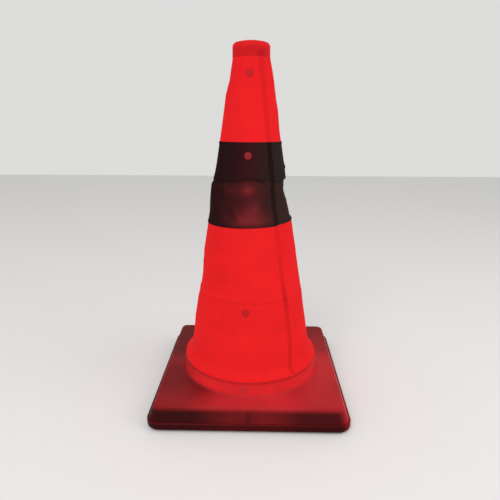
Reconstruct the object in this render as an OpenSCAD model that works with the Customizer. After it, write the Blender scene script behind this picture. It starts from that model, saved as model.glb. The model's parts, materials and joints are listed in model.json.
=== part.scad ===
// Collapsible traffic cone, lit from inside.
// The front faces -Y, the floor is z = 0, sizes are in mm.

/* [Base] */
// Width of the base over the lip of the tray
base_w = 380; // [360:5:420]
// Corner radius of the lip
base_corner_r = 26; // [20:1:34]
// How far the feet stand below the tray
foot_h = 3; // [2:0.5:6]
// Radius of a rubber foot
foot_r = 17; // [12:1:20]
// Thickness of the tray's floor
tray_floor = 3; // [2.5:0.5:5]
// Thickness of the tray's lip
tray_wall = 3.2; // [2.5:0.1:4.5]
// Height of the lip from the underside of the tray
lip_h = 15; // [12:1:20]
// Height of the deck above the lip
deck_rise = 27.5; // [22:0.5:36]
// How far the sloped sides lean in
slope_in = 8.5; // [4:0.5:12]
// Wall of the upper shell
shell_wall = 3; // [2.5:0.5:4]
// Rounding of the deck's edge
deck_round = 6; // [3:0.5:8]
// Thickness of the radial ribs under the deck
rib_t = 5; // [3:0.5:8]

/* [Boss and collar] */
// Radius of the boss at the deck
boss_r = 146; // [143:0.5:149]
// Height of the boss above the deck
boss_rise = 26.5; // [22:0.5:32]
// How far the boss leans in
boss_lean = 8.5; // [7:0.5:10]
// Radius of the rounded shoulder under the cloth
shoulder_round = 28; // [25:1:31]

/* [Cone] */
// Radius of the cone's line where it meets the floor
cone_r = 139; // [138:0.5:141]
// Half angle of the cone
cone_angle = 9; // [8.7:0.1:9.1]
// Thickness of the cloth
cover_t = 0.8; // [0.6:0.1:1.2]
// How far the cloth draws in between two hoops
cover_sag = 1.6; // [0.5:0.1:2]
// How far below the second hoop's top the reflective band begins
band_lap = 7; // [3:0.5:12]

/* [Hoops] */
// Height of a hoop
hoop_h = 65; // [58:1:72]
// Distance from one hoop to the next
hoop_pitch = 144; // [138:1:147]
// Height of the first hoop's lower edge
first_hoop_z = 156; // [150:1:160]
// Wall of a hoop
hoop_wall = 2.2; // [1.6:0.1:2.8]
// Distance of the rivets below a hoop's top
rivet_drop = 20; // [14:1:28]

/* [Rivets] */
// Radius of a rivet's head
rivet_head_r = 7; // [5:0.5:8]
// Height of a rivet's head
rivet_head_h = 1.4; // [1.2:0.1:2.4]
// Radius of a rivet's shank
rivet_shank_r = 2.5; // [2:0.1:3]

/* [Cap] */
// Distance from the last hoop's lower edge to the cap's
cap_step = 163; // [158:1:168]
// Height of the cap's skirt inside the cloth
cap_skirt_h = 54.5; // [50:0.5:58]
// Height of the cap's head above the cloth
cap_head_h = 29.5; // [27:0.5:36]
// Rounding of the head's edge
cap_round = 8; // [5:0.5:9]
// Wall of the cap
cap_wall = 2.4; // [1.8:0.1:3]

/* [Lift spring] */
// Radius of the spring's wire
wire_r = 1.25; // [0.9:0.05:1.5]
// Radius of its lowest turn
spring_low_r = 108; // [104:1:110]
// Turns between the two flat end turns
spring_turns = 5; // [4:1:6]

/* [Light unit] */
// Radius of the light unit's body
unit_r = 26.8; // [26.4:0.1:27.4]
// Radius of the unit's mounting flange
unit_flange_r = 46; // [46:1:50]
// Radius of a battery cell
cell_r = 7.15; // [6.8:0.05:7.3]
// Length of a battery cell
cell_h = 50.5; // [48:0.5:51.5]
// Rise of the lens above its ring
lens_rise = 11; // [7:0.5:12]
// Radius of the push button
button_r = 6; // [5:0.25:6.5]
// Travel of the push button
button_travel = 1.5; // [1:0.1:2]
// Number of light emitters around the centre one
led_count = 6; // [4:1:8]

/* [Hidden] */
$fn = 96;

// Clearances
fit = 0.3;
snug = 0.1;
over = 1;

// Flats along the rounded edges
edge_steps = 4;
deck_steps = 5;
cap_steps = 6;
dome_steps = 5;
lens_steps = 10;

// Levels of the base
tray_z = foot_h;
floor_z = tray_z + tray_floor;
lip_z = tray_z + lip_h;
deck_z = lip_z + deck_rise;
boss_top_z = deck_z + boss_rise;
boss_top_r = boss_r - boss_lean;
boss_tilt = atan(boss_lean / boss_rise);

// Plan of the base
half_w = base_w / 2;
shell_half = half_w - tray_wall - fit;
shell_corner_r = base_corner_r - tray_wall - fit;
foot_inset = 40;
foot_pos = half_w - foot_inset;
foot_sink = 1.2;
foot_edge = 2;
ballast_inset = 45;
ballast_pos = half_w - ballast_inset;
ballast_w = 56;
ballast_h = 8;
ballast_post_r = 6;
post_r = 5;
post_inset = 20;
post_offset = 72;
post_far = half_w - post_inset;
post_near = post_far - post_offset;
screw_head_r = 3.2;
screw_head_h = 1.4;
screw_r = 1.5;
screw_depth = 12;
tray_round = 4;
lip_edge = 1.2;
spring_wall = 1.6;

// The boss's wall and the collar that stands on it
boss_wall = shell_wall;
boss_fillet = 4;
boss_edge = 1.2;
collar_wall = 2.2;
collar_drop = 20;
collar_ledge = 1;
hem_h = 3.8;
hem_z = boss_top_z + fit;
shoulder_z = hem_z + hem_h + fit;
shoulder_over = 0.5;
shoulder_r = boss_top_r + shoulder_over;
shoulder_mid_r = shoulder_r - shoulder_round;
shoulder_end = 55;
shoulder_steps = 10;
hem_over = 0.6;
hem_edge = 1;
boss_rivet_z = deck_z + boss_rise / 2;

// Levels of the cone
function hoop_z(k) = first_hoop_z + (k - 1) * hoop_pitch;
function cone_at(z) = cone_r - z * tan(cone_angle);
function shell_at(z) = cone_at(z) - cover_t - fit;
cap_z = hoop_z(3) + cap_step;
cap_hem_z = cap_z + cap_skirt_h;
cap_top_z = cap_hem_z + cap_head_h;
cap_over = 0.5;
cap_r = cone_at(cap_hem_z) + cap_over;
cap_rivet_up = 25;
cap_rivet_z = cap_z + cap_rivet_up;
dome_share = 0.12;
dome_reach = 0.8;
band_over = 4;
band_z = hoop_z(2) + hoop_h - band_lap;
band_top_z = hoop_z(3) + hoop_h + band_over;
hoop_bead = 1.2;
hoop_bead_h = 3;
sag_steps = 12;
sag_shape = 1.4;
upper_sag = cover_sag / 4;
neck_steps = 10;
neck_low_reach = 5;
neck_high_reach = 25;

// Rivets stand a little left of the front and at even steps from there
rivet_count = 3;
rivet_turn = -94;
rivet_tail_r = 4.6;
rivet_tail_h = 1.2;
rivet_tail_gap = 0.5;
rivet_rim_h = 0.4 * rivet_head_h;
rivet_bevel_h = 0.85 * rivet_head_h;
rivet_bevel_r = 0.8 * rivet_head_r;
rivet_flat_r = 0.4 * rivet_head_r;

// Levels of the light unit
flange_h = 3;
bayonet_lip = 0.7;
lug_h = 1.6;
lug_turn = 36;
slot_turn = 46;
plug_h = 5;
plug_top_z = floor_z + plug_h;
coin_slot = [24, 2.4, 1.2];
seal_r = 0.6;
seal_squeeze = 0.15;
seal_groove_z = plug_top_z - 2 * seal_r - 3 * snug;
disc_z = plug_top_z + fit;
disc_h = 0.8;
contact_h = 2;
contact_wire_r = 0.3;
contact_turns = 2.5;
contact_rings = 12;
cell_z = disc_z + disc_h + contact_h;
cell_nub_r = 2.6;
cell_nub_h = 1.2;
plate_h = 0.6;
partition_z = cell_z + cell_h + plate_h + fit;
partition_h = 2;
board_z = partition_z + partition_h;
board_h = 1.6;
rim_h = 6;
rim_z = board_z + rim_h;
seal_h = 0.8;
lens_z = rim_z + seal_h;
lens_flange_h = 1.8;
lens_wall = 1.8;
lens_inner_turn = 5;
ring_lip_h = 1.2;
ring_top_z = lens_z + lens_flange_h + snug + ring_lip_h;
ring_wall = 1.2;
ring_r = unit_r + snug + ring_wall;
ring_h = 10;
ring_edge = 1;
ring_z = ring_top_z - ring_h;
unit_wall = 2.2;
unit_bore_r = unit_r - unit_wall;
holder_gap = 2;
holder_r = unit_bore_r - holder_gap;
holder_wall = 4;
plug_inset = 3.6;
plug_r = unit_r - plug_inset;
lug_reach = 1.9;
lug_r = plug_r + lug_reach;
cell_circle_r = holder_r - cell_r - holder_wall;
unit_screw_inset = 6;
unit_screw_depth = 9;
led_circle_r = 15;
led_r = 2.5;
led_h = 2;
led_step = 0.6;
button_x = 35;
pod_wall = 1.6;
button_flange = 1;
pod_reach = button_r + button_flange + fit + pod_wall;
pod_x0 = unit_r - pod_wall;
pod_inside_x = unit_r + fit;
pod_x1 = button_x + pod_reach;
pod_half = pod_reach;
pod_h = 15;
pod_top_z = floor_z + flange_h + pod_h;
switch_w = 6;
switch_h = 3.6;
button_flange_h = 1.2;
button_stem_r = 2;
button_stem_h = 1;
button_inset = 0.5;
button_foot_z = tray_z + button_inset;
button_flange_z = floor_z + flange_h + snug;
switch_z = button_flange_z + button_flange_h + button_stem_h + button_travel + fit;
switch_board_h = 1.6;
lead_r = 0.6;
lead_path_r = unit_bore_r - holder_gap / 2 - snug;
lead_y = 3;
lead_x = sqrt(lead_path_r * lead_path_r - lead_y * lead_y);
lead_z = switch_z + switch_h + switch_board_h + lead_r;

// The catch inside the cap reaches round the lens ring when the cone is folded
fold_gap = 2;
fold_travel = cap_z - pod_top_z - fold_gap;
catch_r = ring_r + fit;
catch_t = 1.5;
catch_tooth = 0.8;
catch_tooth_h = 3;
catch_lead = 2;
catch_z = ring_z - fit + fold_travel - catch_tooth_h;
catch_turn = 24;

// The lift spring's path: flat for part of a turn at each end, conical between
spring_rings = 24;
spring_sides = 6;
spring_ease = 0.04;
flat_turns = 0.9;
spring_low_z = floor_z + wire_r + snug;
spring_high_z = cap_z - wire_r - snug;
spring_high_r = shell_at(cap_z) - cap_wall;
function spring_part(turn) = max(0, min(1, (turn - flat_turns) / spring_turns));
function spring_r(turn) = spring_low_r + (spring_high_r - spring_low_r) * spring_part(turn);
function eased(t) =
    (t < spring_ease ? t * t / (2 * spring_ease)
        : t > 1 - spring_ease ? 1 - spring_ease - (1 - t) * (1 - t) / (2 * spring_ease)
        : t - spring_ease / 2) / (1 - spring_ease);
function spring_z(turn) =
    spring_low_z + (spring_high_z - spring_low_z) * eased(spring_part(turn));
spring_path = [
    for (i = [0 : spring_rings * (spring_turns + 2 * flat_turns)])
        let (turn = i / spring_rings)
        [spring_r(turn) * cos(360 * turn), spring_r(turn) * sin(360 * turn), spring_z(turn)]
];

// Points along an arc in the r-z plane
function arc_points(r, z, radius, from, to, steps) = [
    for (i = [0 : steps])
        let (a = from + (to - from) * i / steps) [r + radius * cos(a), z + radius * sin(a)]
];

// A point on a cubic curve
function curve_point(a, b, c, d, t) =
    pow(1 - t, 3) * a + 3 * t * pow(1 - t, 2) * b + 3 * t * t * (1 - t) * c + t * t * t * d;

function backward(points) = [for (i = [len(points) - 1 : -1 : 0]) points[i]];

// A rounded square block: the profile is swept round each corner
module corner_block(half, corner, profile) {
    hull()
        for (x = [-1, 1], y = [-1, 1])
            translate([x * (half - corner), y * (half - corner), 0])
                rotate_extrude($fn = 32) polygon(profile);
}

module at_corners(pos) {
    for (x = [-1, 1], y = [-1, 1]) translate([x * pos, y * pos, 0]) children();
}

module at_screws() {
    for (x = [-1, 1], y = [-1, 1]) {
        translate([x * post_far, y * post_near, 0]) children();
        translate([x * post_near, y * post_far, 0]) children();
    }
}

// Stands children on the cone's side, their z axis along the outward normal
module at_rivets(r, z, tilt) {
    for (i = [0 : rivet_count - 1])
        rotate([0, 0, rivet_turn + i * 360 / rivet_count])
            translate([r, 0, z]) rotate([0, 90 - tilt, 0]) children();
}

module rivet_bore(depth) {
    translate([0, 0, -depth]) cylinder(r = rivet_shank_r + snug, h = depth + over);
}

// A rivet through a wall of the given thickness, its head on z = 0
module rivet(wall) {
    tail = wall + rivet_tail_gap;
    rotate_extrude($fn = 48) polygon(concat(
        [[0, -tail - rivet_tail_h], [rivet_tail_r, -tail - rivet_tail_h], [rivet_tail_r, -tail],
         [rivet_shank_r, -tail], [rivet_shank_r, snug], [rivet_head_r, snug],
         [rivet_head_r, rivet_rim_h], [rivet_bevel_r, rivet_bevel_h],
         [rivet_flat_r, rivet_head_h], [0, rivet_head_h]]
    ));
}

// Base shell: deck, sloped sides, boss, ribs and screw posts
module shell_outside() {
    foot = shell_corner_r;
    top = shell_corner_r - slope_in;
    corner_block(shell_half, shell_corner_r, concat(
        [[0, floor_z + snug], [foot, floor_z + snug], [foot, lip_z]],
        arc_points(top - deck_round, deck_z - deck_round, deck_round, 0, 90, deck_steps),
        [[0, deck_z]]
    ));
}

module shell_inside() {
    foot = shell_corner_r - shell_wall;
    top = foot - slope_in;
    inner_round = deck_round - shell_wall / 2;
    corner_block(shell_half, shell_corner_r, concat(
        [[0, floor_z - over], [foot, floor_z - over], [foot, lip_z]],
        arc_points(top - inner_round, deck_z - shell_wall - inner_round,
            inner_round, 0, 90, edge_steps),
        [[0, deck_z - shell_wall]]
    ));
}

module shell_stiffeners() {
    rib_from = boss_r - boss_wall - over;
    for (a = [0 : 90 : 270]) rotate([0, 0, a])
        translate([rib_from, -rib_t / 2, floor_z + fit])
            cube([half_w - rib_from, rib_t, deck_z - floor_z]);
    at_screws() translate([0, 0, floor_z + snug]) cylinder(r = post_r, h = deck_z - floor_z);
    at_corners(ballast_pos)
        translate([0, 0, floor_z + snug]) cylinder(r = ballast_post_r, h = deck_z - floor_z);
}

module boss() {
    fillet_r = boss_r + boss_fillet * (1 / cos(boss_tilt) - tan(boss_tilt));
    rotate_extrude() polygon(concat(
        [[boss_r - boss_wall, deck_z - shell_wall], [fillet_r, deck_z - shell_wall]],
        arc_points(fillet_r, deck_z + boss_fillet, boss_fillet, 270, 180 + boss_tilt, edge_steps),
        [[boss_top_r + boss_edge * tan(boss_tilt), boss_top_z - boss_edge],
         [boss_top_r - boss_edge / 2, boss_top_z],
         [boss_top_r - boss_wall, boss_top_z], [boss_r - boss_wall, deck_z]]
    ));
}

module base_shell() {
    color("firebrick") difference() {
        union() {
            difference() {
                shell_outside();
                difference() {
                    shell_inside();
                    shell_stiffeners();
                }
                translate([0, 0, deck_z - shell_wall - over])
                    cylinder(r = boss_r - boss_wall, h = shell_wall + 2 * over);
            }
            boss();
        }
        at_screws() translate([0, 0, floor_z - over])
            cylinder(r = screw_r + snug, h = screw_depth + 2 * over, $fn = 24);
        at_rivets(boss_r - boss_lean / 2, boss_rivet_z, boss_tilt) rivet_bore(boss_wall + over);
    }
}

// Tray: floor, lip, spring guide and the openings of the light unit
module base_tray() {
    color("darkred") difference() {
        union() {
            difference() {
                corner_block(half_w, base_corner_r, concat(
                    [[0, tray_z]],
                    arc_points(base_corner_r - tray_round, tray_z + tray_round,
                        tray_round, -90, 0, edge_steps),
                    [[base_corner_r, lip_z - lip_edge], [base_corner_r - lip_edge, lip_z], [0, lip_z]]
                ));
                corner_block(half_w - tray_wall, base_corner_r - tray_wall, [
                    [0, floor_z], [base_corner_r - tray_wall, floor_z],
                    [base_corner_r - tray_wall, lip_z + over], [0, lip_z + over]
                ]);
            }
            rotate_extrude() translate([spring_low_r + wire_r + fit, floor_z - snug])
                square([spring_wall, 2 * wire_r]);
        }
        translate([0, 0, tray_z - over]) cylinder(r = lug_r + 2 * fit, h = tray_floor + 2 * over);
        translate([button_x, 0, tray_z - over])
            cylinder(r = button_r + fit, h = tray_floor + 2 * over, $fn = 48);
        at_corners(foot_pos)
            translate([0, 0, tray_z - over]) cylinder(r = foot_r + snug, h = foot_sink + over, $fn = 48);
        at_screws() {
            translate([0, 0, tray_z - over])
                cylinder(r = screw_head_r + fit, h = over + screw_head_h + fit, $fn = 24);
            translate([0, 0, tray_z]) cylinder(r = screw_r + snug, h = tray_floor + over, $fn = 24);
        }
        unit_screw_places() translate([0, 0, tray_z - over]) {
            cylinder(r = screw_head_r + fit, h = over + screw_head_h + fit, $fn = 24);
            cylinder(r = screw_r + snug, h = tray_floor + 2 * over, $fn = 24);
        }
    }
}

module rubber_feet() {
    top = tray_z + foot_sink;
    color("dimgray") at_corners(foot_pos) rotate_extrude($fn = 48)
        polygon([[0, 0], [foot_r - foot_edge, 0], [foot_r, foot_edge], [foot_r, top], [0, top]]);
}

module screw(depth) {
    cylinder(r = screw_head_r, h = screw_head_h, $fn = 24);
    cylinder(r = screw_r, h = depth, $fn = 24);
}

module base_screws() {
    color("silver") at_screws() translate([0, 0, tray_z + fit])
        screw(tray_floor + screw_depth - fit);
}

module ballast_plates() {
    color("slategray") at_corners(ballast_pos) difference() {
        translate([-ballast_w / 2, -ballast_w / 2, floor_z]) cube([ballast_w, ballast_w, ballast_h]);
        translate([0, 0, floor_z - over])
            cylinder(r = ballast_post_r + fit, h = ballast_h + 2 * over, $fn = 48);
    }
}

// Collar: a skirt inside the boss, a ledge on its top edge and the rounded shoulder
module collar_ring() {
    inside = boss_top_r - boss_wall - fit;
    low_z = boss_top_z - collar_drop;
    low_r = inside + collar_drop * tan(boss_tilt);
    round_r = shoulder_round - cover_t - fit;
    color("tomato") difference() {
        rotate_extrude() polygon(concat(
            [[low_r - collar_wall, low_z], [low_r, low_z], [inside, boss_top_z + snug],
             [inside + collar_ledge, boss_top_z + snug],
             [inside + collar_ledge, shoulder_z - snug]],
            arc_points(shoulder_mid_r, shoulder_z, round_r, 0, shoulder_end, shoulder_steps),
            arc_points(shoulder_mid_r, shoulder_z, round_r - collar_wall, shoulder_end, 0, shoulder_steps),
            [[inside - collar_wall, shoulder_z - collar_wall], [inside - collar_wall, boss_top_z]]
        ));
        at_rivets(boss_r - boss_lean / 2, boss_rivet_z, boss_tilt)
            rivet_bore(boss_wall + collar_wall + 2 * over);
    }
}

// Hem: the stiffened lower edge of the cloth
module hem_ring() {
    inside = boss_top_r - boss_wall + collar_ledge;
    width = shoulder_r + hem_over - inside;
    color("red") rotate_extrude() translate([inside, hem_z]) polygon([
        [0, 0], [width - hem_edge, 0], [width, hem_edge],
        [width, hem_h - hem_edge], [width - hem_edge, hem_h], [0, hem_h]
    ]);
}

module boss_rivets() {
    color("crimson") at_rivets(boss_r - boss_lean / 2, boss_rivet_z, boss_tilt)
        rivet(boss_wall + fit + collar_wall);
}

// Cloth between two levels, drawn in where it spans free of the hoops
function cover_outline(from, free_from, free_to, to, sag) = concat(
    [[cone_at(from), from]],
    [for (i = [0 : sag_steps])
        let (z = free_from + (free_to - free_from) * i / sag_steps)
        [cone_at(z) - sag * pow(sin(180 * i / sag_steps), sag_shape), z]],
    [[cone_at(to), to]]
);

module cloth(outline) {
    rotate_extrude() polygon(concat(
        outline, [for (p = backward(outline)) [p[0] - cover_t, p[1]]]
    ));
}

module cover_lower() {
    shoulder = arc_points(shoulder_mid_r, shoulder_z, shoulder_round, 0, shoulder_end, shoulder_steps);
    start = shoulder[shoulder_steps];
    finish = [cone_at(first_hoop_z), first_hoop_z];
    away = start + neck_low_reach * [-sin(shoulder_end), cos(shoulder_end)];
    near = finish + neck_high_reach * [sin(cone_angle), -cos(cone_angle)];
    top = hoop_z(1) + hoop_h;
    color("red") difference() {
        cloth(concat(
            shoulder,
            [for (i = [1 : neck_steps]) curve_point(start, away, near, finish, i / neck_steps)],
            [[cone_at(top), top]]
        ));
        at_rivets(cone_at(top - rivet_drop), top - rivet_drop, cone_angle) rivet_bore(2 * over);
    }
}

module cover_middle() {
    from = hoop_z(1) + hoop_h + fit;
    rivet_z = hoop_z(2) + hoop_h - rivet_drop;
    color("red") difference() {
        cloth(cover_outline(from, from + over, hoop_z(2), band_z, cover_sag));
        at_rivets(cone_at(rivet_z), rivet_z, cone_angle) rivet_bore(2 * over);
    }
}

module cover_band() {
    from = band_z + fit;
    rivet_z = hoop_z(3) + hoop_h - rivet_drop;
    color("dimgray") difference() {
        cloth(cover_outline(from, hoop_z(2) + hoop_h + over, hoop_z(3), band_top_z, cover_sag));
        at_rivets(cone_at(rivet_z), rivet_z, cone_angle) rivet_bore(2 * over);
    }
}

module cover_upper() {
    from = band_top_z + fit;
    color("red") difference() {
        cloth(cover_outline(from, from + over, cap_z, cap_hem_z - fit, upper_sag));
        at_rivets(cone_at(cap_rivet_z), cap_rivet_z, cone_angle) rivet_bore(2 * over);
    }
}

// Hoop: a thin ring of the cone with a bead along both edges
module hoop(k) {
    low = hoop_z(k);
    top = low + hoop_h;
    color("tomato") difference() {
        rotate_extrude() polygon([
            [shell_at(low), low], [shell_at(top), top],
            [shell_at(top) - hoop_wall - hoop_bead, top],
            [shell_at(top) - hoop_wall - hoop_bead, top - hoop_bead_h],
            [shell_at(top - hoop_bead_h) - hoop_wall, top - hoop_bead_h - hoop_bead],
            [shell_at(low + hoop_bead_h) - hoop_wall, low + hoop_bead_h + hoop_bead],
            [shell_at(low) - hoop_wall - hoop_bead, low + hoop_bead_h],
            [shell_at(low) - hoop_wall - hoop_bead, low]
        ]);
        at_rivets(cone_at(top - rivet_drop), top - rivet_drop, cone_angle)
            rivet_bore(cover_t + hoop_wall + 3 * over);
    }
}

module hoop_1() { hoop(1); }
module hoop_2() { hoop(2); }
module hoop_3() { hoop(3); }

module hoop_rivets(k) {
    z = hoop_z(k) + hoop_h - rivet_drop;
    color("crimson") at_rivets(cone_at(z), z, cone_angle) rivet(cover_t + fit + hoop_wall);
}

module rivets_1() { hoop_rivets(1); }
module rivets_2() { hoop_rivets(2); }
module rivets_3() { hoop_rivets(3); }

// Cap: skirt inside the cloth, rounded head above it and the catch inside
module top_cap() {
    dome_h = dome_share * cap_head_h;
    edge_z = cap_top_z - dome_h;
    flat_r = cap_r - cap_round;
    dome_r = (flat_r * flat_r + dome_h * dome_h) / (2 * dome_h);
    dome_edge = 90 - dome_reach * asin(flat_r / dome_r);
    catch_back_r = catch_r + catch_tooth;
    catch_top_z = edge_z - cap_wall;
    color("crimson") difference() {
        union() {
            rotate_extrude() polygon(concat(
                [[shell_at(cap_z), cap_z], [shell_at(cap_hem_z), cap_hem_z],
                 [cap_r, cap_hem_z + snug]],
                arc_points(flat_r, edge_z - cap_round, cap_round, 0, 90, cap_steps),
                arc_points(0, cap_top_z - dome_r, dome_r, dome_edge, 90, dome_steps),
                arc_points(0, cap_top_z - dome_r, dome_r - cap_wall, 90, dome_edge, dome_steps),
                arc_points(flat_r, edge_z - cap_round, cap_round - cap_wall, 90, 0, cap_steps),
                [[cap_r - cap_wall, cap_hem_z + over],
                 [shell_at(cap_hem_z) - cap_wall, cap_hem_z - over],
                 [shell_at(cap_z) - cap_wall, cap_z]]
            ));
            for (i = [0 : 2]) rotate([0, 0, i * 120 - catch_turn / 2])
                rotate_extrude(angle = catch_turn) polygon([
                    [catch_back_r, catch_z],
                    [catch_back_r + catch_t, catch_z],
                    [catch_back_r + catch_t, catch_top_z],
                    [catch_back_r, catch_top_z],
                    [catch_back_r, catch_z + catch_tooth_h],
                    [catch_r, catch_z + catch_tooth_h],
                    [catch_r, catch_z + catch_lead]
                ]);
        }
        at_rivets(cone_at(cap_rivet_z), cap_rivet_z, cone_angle)
            rivet_bore(cover_t + cap_wall + 2 * over);
    }
}

module cap_rivets() {
    color("crimson") at_rivets(cone_at(cap_rivet_z), cap_rivet_z, cone_angle)
        rivet(cover_t + fit + cap_wall);
}

// A round wire along a path of points, as one closed tube
module wire(path, radius, sides) {
    n = len(path);
    rings = [
        for (i = [0 : n - 1])
            let (
                ahead = path[min(i + 1, n - 1)] - path[max(i - 1, 0)],
                t = ahead / norm(ahead),
                side_raw = cross(t, [0, 0, 1]),
                side = side_raw / norm(side_raw),
                up = cross(side, t)
            )
            for (s = [0 : sides - 1])
                path[i] + radius * (cos(360 * s / sides) * side + sin(360 * s / sides) * up)
    ];
    quads = [
        for (i = [0 : n - 2], s = [0 : sides - 1])
            let (b = i * sides, e = (s + 1) % sides)
            [b + s, b + sides + s, b + sides + e, b + e]
    ];
    first = [for (s = [0 : sides - 1]) s];
    last = [for (s = [sides - 1 : -1 : 0]) (n - 1) * sides + s];
    polyhedron(rings, concat(quads, [first, last]), convexity = 10);
}

// Lift spring: a conical coil with a flat turn at each end
module lift_spring() {
    color("gainsboro") wire(spring_path, wire_r, spring_sides);
}

// Light unit
module unit_screw_places() {
    for (a = [60, 180, 300]) rotate([0, 0, a]) translate([unit_flange_r - unit_screw_inset, 0, 0])
        children();
}

// A ring of blocks spanning part of the turn
module sectors(inner, outer, height, turn, from) {
    for (i = [0 : 2]) rotate([0, 0, from + i * 120 - turn / 2])
        rotate_extrude(angle = turn) translate([inner, 0]) square([outer - inner, height]);
}

module light_housing() {
    inside_z = floor_z + flange_h;
    color("whitesmoke") difference() {
        union() {
            translate([0, 0, floor_z]) cylinder(r = unit_flange_r, h = flange_h);
            translate([0, 0, floor_z]) cylinder(r = unit_r, h = rim_z - floor_z);
            translate([pod_x0, -pod_half, floor_z])
                cube([pod_x1 - pod_x0, 2 * pod_half, pod_top_z - floor_z]);
            unit_screw_places() translate([0, 0, floor_z])
                cylinder(r = post_r, h = screw_depth, $fn = 48);
        }
        translate([0, 0, floor_z - over]) cylinder(r = plug_r + fit, h = plug_h + over + snug);
        translate([0, 0, floor_z + bayonet_lip])
            cylinder(r = lug_r + fit, h = lug_h + 2 * snug);
        translate([0, 0, floor_z - over])
            sectors(plug_r - over, lug_r + fit / 2, over + bayonet_lip + snug, slot_turn, 60);
        translate([0, 0, plug_top_z]) cylinder(r = unit_bore_r, h = partition_z - plug_top_z);
        translate([0, 0, board_z]) cylinder(r = unit_bore_r, h = rim_z - board_z + over);
        for (y = [-1, 1]) {
            translate([lead_x, y * lead_y, partition_z - over])
                cylinder(r = lead_r + snug, h = partition_h + 2 * over, $fn = 24);
            translate([lead_x - over, y * lead_y, lead_z]) rotate([0, 90, 0])
                cylinder(r = lead_r + fit, h = holder_gap + unit_wall + pod_wall, $fn = 24);
        }
        translate([pod_inside_x, pod_wall - pod_half, inside_z])
            cube([pod_x1 - pod_wall - pod_inside_x, 2 * (pod_half - pod_wall), pod_h - pod_wall]);
        translate([button_x, 0, floor_z - over])
            cylinder(r = button_r + fit, h = flange_h + 2 * over, $fn = 48);
        unit_screw_places() translate([0, 0, floor_z - over])
            cylinder(r = screw_r + snug, h = screw_depth - over, $fn = 24);
    }
}

module unit_screws() {
    color("silver") unit_screw_places() translate([0, 0, tray_z + fit])
        screw(tray_floor + unit_screw_depth);
}

module at_cells() {
    for (a = [0, 120, 240]) rotate([0, 0, a + 60]) translate([cell_circle_r, 0, 0]) children();
}

module battery_holder() {
    color("dimgray") difference() {
        translate([0, 0, cell_z]) cylinder(r = holder_r, h = cell_h);
        at_cells() translate([0, 0, cell_z - over]) cylinder(r = cell_r + fit, h = cell_h + 2 * over);
    }
}

module battery_cells() {
    color("goldenrod") at_cells() translate([0, 0, cell_z]) {
        cylinder(r = cell_r, h = cell_h - cell_nub_h);
        cylinder(r = cell_nub_r, h = cell_h, $fn = 32);
    }
}

module contact_plates() {
    color("silver") at_cells() translate([0, 0, cell_z + cell_h])
        cylinder(r = cell_r - over, h = plate_h, $fn = 48);
}

module contact_disc() {
    color("seagreen") translate([0, 0, disc_z]) cylinder(r = holder_r, h = disc_h);
}

module contact_springs() {
    wide = cell_r - 2 * over;
    narrow = cell_nub_r;
    low = disc_z + disc_h + contact_wire_r;
    high = cell_z - contact_wire_r;
    steps = contact_rings * contact_turns;
    path = [
        for (i = [0 : steps])
            let (t = i / steps, r = wide + (narrow - wide) * t, a = 360 * contact_turns * t)
            [r * cos(a), r * sin(a), low + (high - low) * t]
    ];
    color("gainsboro") at_cells() wire(path, contact_wire_r, spring_sides);
}

module led_board() {
    color("seagreen") difference() {
        translate([0, 0, board_z]) cylinder(r = unit_bore_r - snug, h = board_h);
        for (y = [-1, 1]) translate([lead_x, y * lead_y, board_z - over])
            cylinder(r = lead_r + snug, h = board_h + 2 * over, $fn = 24);
    }
}

module led() {
    cylinder(r = led_r, h = led_h / 2, $fn = 32);
    cylinder(r = led_r - led_step, h = led_h, $fn = 32);
}

module leds() {
    color("lightyellow") translate([0, 0, board_z + board_h]) {
        led();
        for (i = [0 : led_count - 1])
            rotate([0, 0, 30 + i * 360 / led_count]) translate([led_circle_r, 0, 0]) led();
    }
}

module lens_seal() {
    color("dimgray") translate([0, 0, rim_z]) difference() {
        cylinder(r = unit_r, h = seal_h);
        translate([0, 0, -over]) cylinder(r = unit_bore_r, h = seal_h + 2 * over);
    }
}

// Lens: a flange on the seal and a clear dome
module lens() {
    dome_foot = unit_bore_r - 2 * fit;
    base = lens_z + lens_flange_h;
    dome_r = (dome_foot * dome_foot + lens_rise * lens_rise) / (2 * lens_rise);
    dome_z = base + lens_rise - dome_r;
    dome_edge = 90 - asin(dome_foot / dome_r);
    inner_edge = dome_edge + lens_inner_turn;
    color("mistyrose") rotate_extrude() polygon(concat(
        [[dome_foot - lens_wall, lens_z], [unit_r - snug, lens_z], [unit_r - snug, base]],
        arc_points(0, dome_z, dome_r, dome_edge, 90, lens_steps),
        arc_points(0, dome_z, dome_r - lens_wall, 90, inner_edge, lens_steps - 1)
    ));
}

module lens_ring() {
    lip_r = unit_bore_r - fit;
    color("darkslategray") rotate_extrude() polygon([
        [unit_r + snug, ring_z], [ring_r, ring_z], [ring_r, ring_top_z - ring_edge],
        [ring_r - ring_edge, ring_top_z], [lip_r, ring_top_z], [lip_r, ring_top_z - ring_lip_h],
        [unit_r + snug, ring_top_z - ring_lip_h]
    ]);
}

// Battery cap: a bayonet plug turned with a coin
module battery_cap() {
    low = tray_z + fit;
    depth = 2 * seal_r - seal_squeeze;
    color("black") difference() {
        union() {
            translate([0, 0, low]) cylinder(r = lug_r + fit, h = tray_floor - 2 * fit);
            translate([0, 0, low]) cylinder(r = plug_r, h = plug_top_z - low);
            translate([0, 0, floor_z + bayonet_lip + snug])
                sectors(plug_r - over, lug_r, lug_h - snug, lug_turn, 0);
        }
        translate([-coin_slot[0] / 2, -coin_slot[1] / 2, low - over])
            cube(coin_slot + [0, 0, over]);
        translate([0, 0, seal_groove_z]) rotate_extrude()
            translate([plug_r - depth, 0]) square([depth + over, 2 * seal_r + snug]);
    }
}

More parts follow.
